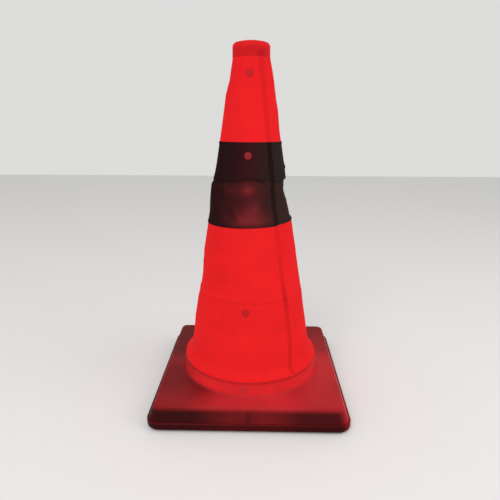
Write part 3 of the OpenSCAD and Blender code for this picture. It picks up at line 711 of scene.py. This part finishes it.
# The base: colours of the light in it, its levels and the lengths over which its light changes
RED_GLOW = (1.0, 0.020, 0.026)
BASE_GLOW = (1.0, 0.034, 0.042)
BOSS_RISE, DECK_RISE = 26.5 * MM, 27.5 * MM
DECK_Z = levels("base_shell")[1] - BOSS_RISE
LIP_Z = DECK_Z - DECK_RISE
DECK_FRONT, DECK_BACK = (-165 * MM, -90 * MM), (0.0, 50 * MM)
DECK_OUT, DECK_EDGE = (150 * MM, 225 * MM), (171 * MM, 178 * MM)
SIDE_CORNER, SIDE_LENGTH = (-20 * MM, 8 * MM), (-170 * MM, 150 * MM)
SIDE_MIDDLE, SIDE_RIGHT, SIDE_RIB = (30 * MM, 110 * MM), (0.0, 30 * MM), (2.5 * MM, 6 * MM)
LIP_MIDDLE, LIP_RIGHT = (30 * MM, 120 * MM), (165 * MM, 180 * MM)


def boss_light(tree, place):
    """Light in the boss and its rivets: bright from the front left round to the right, dim behind."""
    rise = spread(tree, direction_share(tree, place, 50), 0.14, 0.64, -0.85, 0.2)
    fall = spread(tree, direction_share(tree, place, -20), 0.6, 1.0, -0.4, 0.3)
    return sum_of(tree, "MULTIPLY", rise, fall)


def radius_of(tree, place):
    """Distance of a point from the cone's axis."""
    flat = add(tree, "VectorMath", {0: place, 1: (1.0, 1.0, 0.0)}, operation="MULTIPLY").outputs[0]
    return add(tree, "VectorMath", {0: flat}, operation="LENGTH").outputs["Value"]


def right_side_light(tree, parts, y, strength):
    """Light in the base's right side, which fades towards the back."""
    past_corner = sum_of(tree, "SUBTRACT", parts.outputs["X"], y)
    share = spread(tree, past_corner, 0.0, strength, *SIDE_CORNER)
    return sum_of(tree, "MULTIPLY", share, spread(tree, parts.outputs["Y"], 1.0, 0.4, *SIDE_LENGTH))


def deck_light(tree, place, along):
    """Light in the deck: brightest in front of the boss and on its right, dim on the left and behind."""
    even = spread(tree, along, 0.215, 0.13, *DECK_FRONT)
    front = spread(tree, direction_share(tree, place, 0), 0.0, 0.265, 0.78, 1.0)
    left = spread(tree, direction_share(tree, place, -87), 0.0, 0.045, 0.98, 1.0)
    right = spread(tree, direction_share(tree, place, 80), 0.0, 0.29, 0.15, 1.0)
    right = sum_of(tree, "MULTIPLY", right, spread(tree, radius_of(tree, place), 1.08, 0.70, *DECK_OUT))
    light = sum_of(tree, "ADD", sum_of(tree, "ADD", even, front), sum_of(tree, "ADD", left, right))
    return sum_of(tree, "MULTIPLY", light, spread(tree, along, 1.0, 0.66, *DECK_BACK))


def base_material():
    """The base's shell: bright boss and deck near the lamp, dim sloped sides with the ribs' shadows, and a
    painted shadow under the hem.
    """
    material, tree, shader, place = lit_red("base_plastic", (0.038, 0.0030, 0.0034), 0.45, 0.06)
    parts = add(tree, "SeparateXYZ", {0: place})
    x = sum_of(tree, "ABSOLUTE", parts.outputs["X"], 0.0)
    y = sum_of(tree, "ABSOLUTE", parts.outputs["Y"], 0.0)
    z = parts.outputs["Z"]
    side = sum_of(tree, "MINIMUM", x, y)
    deck = deck_light(tree, place, parts.outputs["Y"])
    # Painted shade towards the deck's rounded edge
    outer = sum_of(tree, "MAXIMUM", x, y)
    deck = sum_of(tree, "MULTIPLY", deck, spread(tree, outer, 1.0, 0.9, *DECK_EDGE))
    glow = spread(tree, side, 0.10, 0.0, *SIDE_MIDDLE)
    right_part = spread(tree, parts.outputs["X"], 0.0, 0.028, *SIDE_RIGHT)
    # Painted shadow of the ribs in the sloped sides
    rib_shadow = spread(tree, side, 0.62, 1.0, *SIDE_RIB)
    slope = sum_of(tree, "MULTIPLY", sum_of(tree, "ADD", glow, right_part), rib_shadow)
    slope = sum_of(tree, "ADD", slope, right_side_light(tree, parts, y, 0.30))
    on_deck = spread(tree, z, 0.0, 1.0, DECK_Z - 11 * MM, DECK_Z - 0.5 * MM)
    on_boss = spread(tree, z, 0.0, 1.0, DECK_Z - 0.5 * MM, DECK_Z + 8 * MM)
    # Painted shadow at the top of the boss, under the hem's overhang
    hem_shadow = spread(tree, z, 1.0, 0.70, DECK_Z + 19 * MM, DECK_Z + 25 * MM)
    flow = spread(tree, noise(tree, place, 40, 3), 0.95, 1.05, 0.3, 0.7)
    light = add(tree, "Mix", {0: on_deck, 2: slope, 3: deck}).outputs[0]
    boss = sum_of(tree, "MULTIPLY", boss_light(tree, place), hem_shadow)
    light = add(tree, "Mix", {0: on_boss, 2: light, 3: boss}).outputs[0]
    light = sum_of(tree, "MULTIPLY", light, flow)
    tone = mix(tree, on_boss, colour(BASE_GLOW), colour(RED_GLOW))
    join(tree, scaled(tree, tone, light), shader.inputs["Emission Color"])
    return material


def tray_material():
    """The tray: dark red, lit along the top of its lip, in the middle of its sides and on the right."""
    material, tree, shader, place = lit_red("tray_plastic", (0.040, 0.0026, 0.0030), 0.45, 0.05)
    parts = add(tree, "SeparateXYZ", {0: place})
    x = sum_of(tree, "ABSOLUTE", parts.outputs["X"], 0.0)
    y = sum_of(tree, "ABSOLUTE", parts.outputs["Y"], 0.0)
    edge = spread(tree, parts.outputs["Z"], 0.0, 0.05, LIP_Z - 3 * MM, LIP_Z)
    centre = spread(tree, sum_of(tree, "MINIMUM", x, y), 0.026, 0.0, *LIP_MIDDLE)
    rim = spread(tree, parts.outputs["X"], 0.0, 1.0, *LIP_RIGHT)
    right = sum_of(tree, "MULTIPLY", right_side_light(tree, parts, y, 0.15), rim)
    light = sum_of(tree, "ADD", sum_of(tree, "ADD", edge, centre), right)
    light = sum_of(tree, "MULTIPLY", light, spread(tree, noise(tree, place, 30, 3), 0.8, 1.1, 0.3, 0.7))
    join(tree, scaled(tree, RED_GLOW, light), shader.inputs["Emission Color"])
    return material


def cap_material():
    """The cap: a bright dome over a dimmer band, painted lighter on the right, with a painted shadow where
    the seam ends.
    """
    material, tree, shader, place = lit_red("cap_plastic", (0.25, 0.0045, 0.0055), 0.5, 0.03)
    z = add(tree, "SeparateXYZ", {0: place}).outputs["Z"]
    dome = spread(tree, z, 0.345, 0.50, CAP_TOP - 19 * MM, CAP_TOP - 8 * MM)
    # Painted light: brighter towards the right
    right = spread(tree, direction_share(tree, place, 85), 0.0, 0.09, 0.75, 1.0)
    outer = spread(tree, radius_of(tree, place), 0.0, 1.0, 12 * MM, 32 * MM)
    dome = sum_of(tree, "ADD", dome, sum_of(tree, "MULTIPLY", right, outer))
    # Painted shadow where the seam ends
    turn = math.radians(SEAM_TURNS[-1])
    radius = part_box("top_cap")[1].x * 0.83
    seam_end_shadow = (radius * math.sin(turn), -radius * math.cos(turn), SLEEVE_TOP + 4.5 * MM)
    away = add(tree, "VectorMath", {0: place, 1: seam_end_shadow}, operation="DISTANCE").outputs["Value"]
    dim = spread(tree, away, 0.70, 1.0, 3 * MM, 13 * MM)
    cloudy = spread(tree, noise(tree, place, 60, 3), 0.93, 1.05, 0.3, 0.7)
    light = sum_of(tree, "MULTIPLY", sum_of(tree, "MULTIPLY", dome, dim), cloudy)
    join(tree, scaled(tree, RED_GLOW, light), shader.inputs["Emission Color"])
    return material


def lit_plain(name, tint, glow, scale=300):
    """A small red piece in the cloth, lit from behind like the cloth."""
    material, tree, shader, place = lit_red(name, tint, 0.45, 0.06)
    cloudy = spread(tree, noise(tree, place, scale, 2), 0.88 * glow, 1.08 * glow, 0.3, 0.7)
    turned = spread(tree, direction_share(tree, place, math.degrees(BRIGHT_TURN)), 0.72, 1.0, -1.0, 0.8)
    light = sum_of(tree, "MULTIPLY", cloudy, turned)
    join(tree, scaled(tree, RED_GLOW, light), shader.inputs["Emission Color"])
    return material


def boss_rivet_material():
    material, tree, shader, place = lit_red("boss_rivets", (0.06, 0.004, 0.005), 0.45, 0.06)
    light = sum_of(tree, "MULTIPLY", boss_light(tree, place), 0.72)
    join(tree, scaled(tree, BASE_GLOW, light), shader.inputs["Emission Color"])
    return material


def emitter_material():
    material, tree, shader, place = moulded("emitter", (0.95, 0.85, 0.55), (0.8, 0.7, 0.4), 0.25, 0.5, 0.05)
    glow = spread(tree, noise(tree, place, 500, 2), 0.7, 1.0)
    join(tree, scaled(tree, (0.9, 0.3, 0.25), glow), shader.inputs["Emission Color"])
    shader.inputs["Emission Strength"].default_value = 1.0
    return material


def lens_material():
    material, _, shader, _ = moulded("lens_clear", (0.92, 0.80, 0.79), (0.86, 0.70, 0.69), 0.14, 0.5, 0.04)
    shader.inputs["Transmission Weight"].default_value = 0.85
    shader.inputs["IOR"].default_value = 1.49
    return material


FINISHES = {
    "base_plastic": base_material(),
    "tray_plastic": tray_material(),
    "rubber": moulded("rubber", (0.030, 0.030, 0.032), (0.018, 0.018, 0.019), 0.78, 0.3, 0.35, 700)[0],
    "steel": brushed("steel", (0.62, 0.62, 0.61), (0.48, 0.48, 0.48), 0.32),
    "ballast": moulded("ballast", (0.13, 0.13, 0.14), (0.09, 0.09, 0.10), 0.7, 0.3, 0.5, 500)[0],
    "hoop_plastic": moulded("hoop_plastic", (0.70, 0.055, 0.05), (0.55, 0.035, 0.035), 0.5)[0],
    "cap_plastic": cap_material(),
    "housing_plastic": moulded("housing_plastic", (0.80, 0.80, 0.78), (0.70, 0.70, 0.68), 0.5)[0],
    "dark_plastic": moulded("dark_plastic", (0.042, 0.042, 0.046), (0.028, 0.028, 0.030), 0.48, 0.4, 0.2)[0],
    "cell_metal": brushed("cell_metal", (0.48, 0.33, 0.12), (0.36, 0.24, 0.08), 0.35),
    "contact_metal": brushed("contact_metal", (0.72, 0.69, 0.60), (0.58, 0.55, 0.48), 0.3),
    "circuit_board": moulded("circuit_board", (0.05, 0.26, 0.12), (0.03, 0.18, 0.08), 0.4)[0],
    "emitter": emitter_material(),
    "lens_clear": lens_material(),
    "lead_jacket": moulded("lead_jacket", (0.36, 0.03, 0.03), (0.26, 0.02, 0.02), 0.5)[0],
    "spring_wire": brushed("spring_wire", (0.58, 0.58, 0.59), (0.44, 0.44, 0.45), 0.3),
}
RIVET_FINISHES = {
    "boss_rivets": boss_rivet_material(),
    "rivets_1": lit_plain("rivets_1", (0.10, 0.005, 0.007), 0.39),
    "rivets_2": lit_plain("rivets_2", (0.20, 0.002, 0.0025), 0.61),
    "rivets_3": lit_plain("rivets_3", (0.23, 0.016, 0.021), 0.03),
    "cap_rivets": lit_plain("cap_rivets", (0.10, 0.005, 0.007), 0.43),
}
# The red thread glows with painted light, like the cloth around it
thread_red = lit_plain("thread_red", (0.25, 0.007, 0.0085), 0.52, 3000)

for part in frame["record"]["subparts"]:
    if part["material_slot"] in FINISHES:
        give(nodes[part["node"]], FINISHES[part["material_slot"]])
for node, finish in RIVET_FINISHES.items():
    give(nodes[node], finish)


# The sewn panels and the strip along their seam
def lap_lift(z, low, high, lift_low, lift_high):
    """How far the ends of a panel stand off the cone, over or under the next panel."""
    lift = lift_low * (1 - smooth(z, low, low + LAP_FADE))
    return lift + lift_high * smooth(z, high - LAP_FADE, high)


def shade(piece, angle, z, banded, share=1.0):
    """Stores the cloth's weave, colour and light on the mesh; the band's colour holds painted shade and a
    painted reflection. Share dims a doubled layer: its light, and its colour as painted shade.
    """
    along = angle * float(cone_radius(z.mean()))
    set_vectors(piece, "weave", np.stack([along, z / math.cos(CONE_ANGLE), 0 * z], axis=-1))
    if banded:
        # Painted grey reflection on the band's right
        reflection = band_reflection_share(wrapped(angle), z)[..., None]
        # Painted shade in the band's crease and at its far left
        tint = (BAND_TINT * (1 - reflection) + BAND_REFLECTION * reflection) * band_shade(wrapped(angle), z)[..., None]
        glow = BAND_GLOW * band_light(wrapped(angle), z)[..., None]
    else:
        tint = CLOTH_TINT + 0 * z[..., None]
        glow = CLOTH_GLOW * cloth_light(wrapped(angle), z)[..., None]
    share = np.broadcast_to(share, z.shape)[..., None]
    set_vectors(piece, "tint", tint * share)
    set_vectors(piece, "glow", glow * share)


def panel(node, low, high, lift_low, lift_high, banded):
    heights = row_heights(low, high)
    z, turn = np.meshgrid(heights, np.linspace(0, 2 * np.pi, COLUMNS + 1), indexing="ij")
    angle = seam_angle(z) + turn
    lift = lap_lift(z, low, high, lift_low, lift_high)
    z = tilted(angle, z)
    clear = smooth(rivet_distance(angle, z), RIVET_R, 2 * RIVET_R)
    radius = cloth_radius(angle, z) + lift * clear
    name = node.replace("cover", "cloth")
    piece = make_piece(name, on_cone(angle, radius, z), grid_faces(len(heights), COLUMNS + 1))
    shade(piece, angle, z, banded)
    give(piece, band_cloth if banded else cloth_red)
    thick = piece.modifiers.new("thickness", "SOLIDIFY")
    thick.thickness = CLOTH_T
    thick.offset = -1
    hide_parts(node)
    return piece


# The section of the seam strip: across it, its rise and how far it dims the light
SEAM_ACROSS = np.array([-0.52, -0.5, -0.42, -0.26, 0.26, 0.42, 0.5, 0.52]) * SEAM_W
SEAM_RISE = np.array([-0.3, 0.6, 0.9, 1.0, 1.0, 0.9, 0.6, -0.3]) * SEAM_H
SEAM_TONES = np.array([0.3, 0.35, 0.75, 1.0, 1.0, 0.75, 0.35, 0.3])


def seam_strip(name, low, high, lift_low, lift_high, banded):
    heights = row_heights(low, high)
    z, across = np.meshgrid(heights, SEAM_ACROSS, indexing="ij")
    angle = seam_angle(z) + across / cone_radius(z)
    lift = lap_lift(z, low, high, lift_low, lift_high)
    z = tilted(angle, z)
    radius = cloth_radius(angle, z) + lift
    points = on_cone(angle, radius + SEAM_RISE, z)
    piece = make_piece(name, points, grid_faces(len(heights), len(SEAM_ACROSS)))
    share = BAND_SEAM_SHARE + 0 * z if banded else np.interp(z / MM, SEAM_HEIGHTS, SEAM_SHARES)
    shade(piece, angle, z, banded, 1 - (1 - share) * SEAM_TONES)
    give(piece, band_cloth if banded else cloth_red)
    return piece


# The collar: a skirt inside the boss, a ledge on the boss's edge and a wall that backs the flare
def collar():
    low = levels("collar_ring")[0]
    seat = low + SKIRT_DROP
    back = SKIRT_R - COLLAR_WALL
    skirt = [
        [back + SKIRT_SPREAD, low],
        [SKIRT_R + SKIRT_SPREAD, low],
        [SKIRT_R, seat],
        [SKIRT_R + COLLAR_LEDGE, seat],
        [SKIRT_R + COLLAR_LEDGE, HEM_HIGH],
    ]
    flare = NECK[NECK[:, 1] < COLLAR_TOP]
    along = np.gradient(flare, axis=0)
    out = np.column_stack([along[:, 1], -along[:, 0]]) / np.hypot(*along.T)[:, None]
    outer = flare - COLLAR_FIT * out
    inner = (outer - COLLAR_WALL * out)[::-1]
    section = np.vstack([skirt, outer, inner[inner[:, 0] < back], [[back, seat]]])
    turns = np.linspace(0, 2 * np.pi, COLUMNS, endpoint=False)
    angle, k = np.meshgrid(turns, np.arange(len(section)), indexing="ij")
    piece = make_piece("collar", on_cone(angle, section[k, 0], section[k, 1]), ring_faces(len(section)))
    give(piece, FINISHES["hoop_plastic"])
    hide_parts("collar_ring")
    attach(piece, "base")


collar()

# Heights where the cloth starts to pass to the next body, over the foot and the second hoop,
# and where it has passed, below the top of each hoop
FOOT_FREE = 104 * MM
BAND_FREE = HOOPS[1][1] + 16 * MM
HOOP_GRIPS = [top - 20 * MM for _, top in HOOPS]

# The panels: node, bodies, heights between which the cloth passes from one to the other, what backs it
PANELS = [
    ("cover_lower", ("base", "hoop_1"), (FOOT_FREE, HOOP_GRIPS[0]), ["collar", "hoop_1"]),
    ("cover_middle", ("hoop_1", "hoop_2"), (HOOPS[0][1], HOOP_GRIPS[1]), ["hoop_1", "hoop_2"]),
    ("cover_band", ("hoop_2", "hoop_3"), (BAND_FREE, HOOP_GRIPS[2]), ["hoop_2", "hoop_3"]),
    ("cover_upper", ("hoop_3", "cap"), (BAND_HIGH, RIVET_HEIGHTS[3]), ["hoop_3", "top_cap"]),
]

# The lower and upper end of each panel, and how far each end stands off the cone
SPREADS = {
    "cover_lower": (FOOT_Z, HOOPS[0][1], 0, -LAP_DIP),
    "cover_middle": (HOOPS[0][1] - LAP, BAND_LOW + LAP, LAP_LIFT, 0),
    "cover_band": (BAND_LOW, BAND_HIGH, BAND_LIFT, BAND_LIFT),
    "cover_upper": (BAND_HIGH - LAP, SLEEVE_TOP, 0, 0),
}
SEAM_ROWS = (-0.36 * SEAM_W, 0.36 * SEAM_W)
BAND_ROW, LAP_ROW = 3 * MM, 2.5 * MM
for node, bodies, (start, end), rests_on in PANELS:
    low, high, lift_low, lift_high = SPREADS[node]
    banded = node == "cover_band"
    cloth = panel(node, low, high, lift_low, lift_high, banded)
    seam = seam_strip(node.replace("cover", "seam"), low, high, lift_low, lift_high, banded)
    lift = SEAM_H + 0.1 * MM
    rows = [along_seam(low, high, offset, lift) for offset in SEAM_ROWS]
    if banded:
        rows += [around(low + BAND_ROW, BAND_LIFT), around(high - BAND_ROW, BAND_LIFT)]
    if node == "cover_middle":
        rows += [around(low + LAP_ROW, LAP_LIFT)]
    sewing = stitches(node.replace("cover", "stitches"), rows)
    give(sewing, thread_dark if banded else thread_red)
    for piece in (cloth, seam, sewing):
        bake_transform(piece)


# The hem: a rolled edge that isn't quite even
def hem():
    turns = np.linspace(0, 2 * np.pi, COLUMNS, endpoint=False)
    height = HEM_HIGH - HEM_LOW
    depth = 3.2 * MM
    ring = np.linspace(0, 2 * np.pi, 20, endpoint=False)
    out = HEM_R - depth / 2 + depth / 2 * np.sign(np.cos(ring)) * np.abs(np.cos(ring)) ** 0.6
    up = (HEM_LOW + HEM_HIGH) / 2 + height / 2 * np.sign(np.sin(ring)) * np.abs(np.sin(ring)) ** 0.6
    angle, k = np.meshgrid(turns, np.arange(len(ring)), indexing="ij")
    wave = 0.15 * MM * np.sin(31 * angle) + 0.1 * MM * np.sin(47 * angle + 1)
    radius = out[k] + wave
    z = up[k]
    points = on_cone(angle, radius, z)
    piece = make_piece("cloth_hem", points, ring_faces(len(ring)))
    set_vectors(piece, "weave", np.stack([angle * FOOT_R, z, 0 * z], axis=-1))
    set_vectors(piece, "tint", CLOTH_TINT + 0 * z[..., None])
    # Painted light through the hem, brightest towards the same angle as the cloth
    light = 1.05 - 0.10 * (1 - np.cos(angle - BRIGHT_TURN))
    set_vectors(piece, "glow", CLOTH_GLOW * light[..., None])
    give(piece, cloth_red)
    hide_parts("hem_ring")
    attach(piece, "base")


hem()


# The lift spring: a round wire along the same path as the solid
SPRING_LOW_R, SPRING_TOP_R = 108 * MM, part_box("top_cap")[1].x - 2.4 * MM
SPRING_TURNS, FLAT_TURNS, SPRING_EASE = 5, 0.9, 0.04
WIRE_R = 1.25 * MM
WIRE_SIDES, WIRE_STEPS = 10, 44


def lift_spring():
    low, high = levels("lift_spring")
    turn = np.arange(0, SPRING_TURNS + 2 * FLAT_TURNS, 1 / WIRE_STEPS)
    t = np.clip((turn - FLAT_TURNS) / SPRING_TURNS, 0, 1)
    ease = np.where(t < SPRING_EASE, t**2 / (2 * SPRING_EASE), t - SPRING_EASE / 2)
    late = 1 - SPRING_EASE - (1 - t) ** 2 / (2 * SPRING_EASE)
    ease = np.where(t > 1 - SPRING_EASE, late, ease) / (1 - SPRING_EASE)
    radius = SPRING_LOW_R + (SPRING_TOP_R - SPRING_LOW_R) * t
    a = 2 * np.pi * turn
    z = low + WIRE_R + (high - low - 2 * WIRE_R) * ease
    path = np.column_stack([radius * np.cos(a), radius * np.sin(a), z])
    ahead = np.gradient(path, axis=0)
    ahead = ahead / np.linalg.norm(ahead, axis=1, keepdims=True)
    side = np.cross(ahead, [0, 0, 1])
    side = side / np.linalg.norm(side, axis=1, keepdims=True)
    up = np.cross(side, ahead)
    ring = np.linspace(0, 2 * np.pi, WIRE_SIDES, endpoint=False)[None, :, None]
    points = path[:, None] + WIRE_R * (np.cos(ring) * side[:, None] + np.sin(ring) * up[:, None])
    faces = grid_faces(len(path), WIRE_SIDES, closed=True)
    last = (len(path) - 1) * WIRE_SIDES
    faces += [tuple(range(WIRE_SIDES))[::-1], tuple(range(last, last + WIRE_SIDES))]
    piece = make_piece("spring_wire", points, faces)
    give(piece, FINISHES["spring_wire"])
    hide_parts("lift_spring")
    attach(piece, "base")
    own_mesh(piece)


lift_spring()


# Floor, light and camera
def floor():
    reach, level = 4, -0.1 * MM
    corners = [(-reach, -reach), (reach, -reach), (reach, reach), (-reach, reach)]
    points = np.array([[x, y, level] for x, y in corners])
    piece = make_piece("floor", points, [(0, 1, 2, 3)])
    material = moulded("floor", (0.80, 0.79, 0.78), (0.78, 0.77, 0.76), 0.7, 0.2, 0.03, 60)[0]
    give(piece, material)


def lamp(name, place, target, size, power):
    data = bpy.data.lights.new(name, "AREA")
    data.size = size
    data.energy = power
    made = bpy.data.objects.new(name, data)
    made.location = place
    made.rotation_euler = (Vector(target) - Vector(place)).to_track_quat("-Z", "Y").to_euler()
    bpy.context.scene.collection.objects.link(made)


def studio():
    world = bpy.data.worlds.new("studio")
    world.use_nodes = True
    tree = world.node_tree
    light = tree.nodes["Background"]
    light.inputs["Color"].default_value = (1, 1, 1, 1)
    light.inputs["Strength"].default_value = 0.68
    seen = add(tree, "Background", {"Color": (0.72, 0.72, 0.71, 1), "Strength": 1.0})
    rays = add(tree, "LightPath", {})
    shown = sum_of(tree, "MAXIMUM", rays.outputs["Is Camera Ray"], rays.outputs["Is Glossy Ray"])
    shown = sum_of(tree, "MAXIMUM", shown, rays.outputs["Is Transmission Ray"])
    both = add(tree, "MixShader", {0: shown, 1: light.outputs[0], 2: seen.outputs[0]})
    tree.links.new(both.outputs[0], tree.nodes["World Output"].inputs["Surface"])
    bpy.context.scene.world = world
    lamp("key", (-0.6, -2.2, 2.4), (0, 0, 0.3), 2.0, 42)
    lamp("fill", (1.8, -0.6, 1.6), (0, 0, 0.3), 1.6, 10)


CAMERA_PLACE = (0.0175, -0.9032, 0.5472)
CAMERA_HEADING = (-0.0210, 0.9998)
CAMERA_PITCH, CAMERA_ROLL = 15.59, 0.16
CAMERA_SENSOR, CAMERA_LENS = 36, 32.89


def camera():
    data = bpy.data.cameras.new("camera")
    data.sensor_width = CAMERA_SENSOR
    data.lens = CAMERA_LENS
    made = bpy.data.objects.new("camera", data)
    fall = math.radians(CAMERA_PITCH)
    ahead = Vector((*(math.cos(fall) * c for c in CAMERA_HEADING), -math.sin(fall)))
    turn = ahead.to_track_quat("-Z", "Y").to_matrix()
    roll = Matrix.Rotation(math.radians(CAMERA_ROLL), 3, "Z")
    made.matrix_world = Matrix.Translation(CAMERA_PLACE) @ (turn @ roll).to_4x4()
    bpy.context.scene.collection.objects.link(made)
    bpy.context.scene.camera = made


floor()
studio()
camera()
bpy.context.scene.view_settings.view_transform = "Standard"
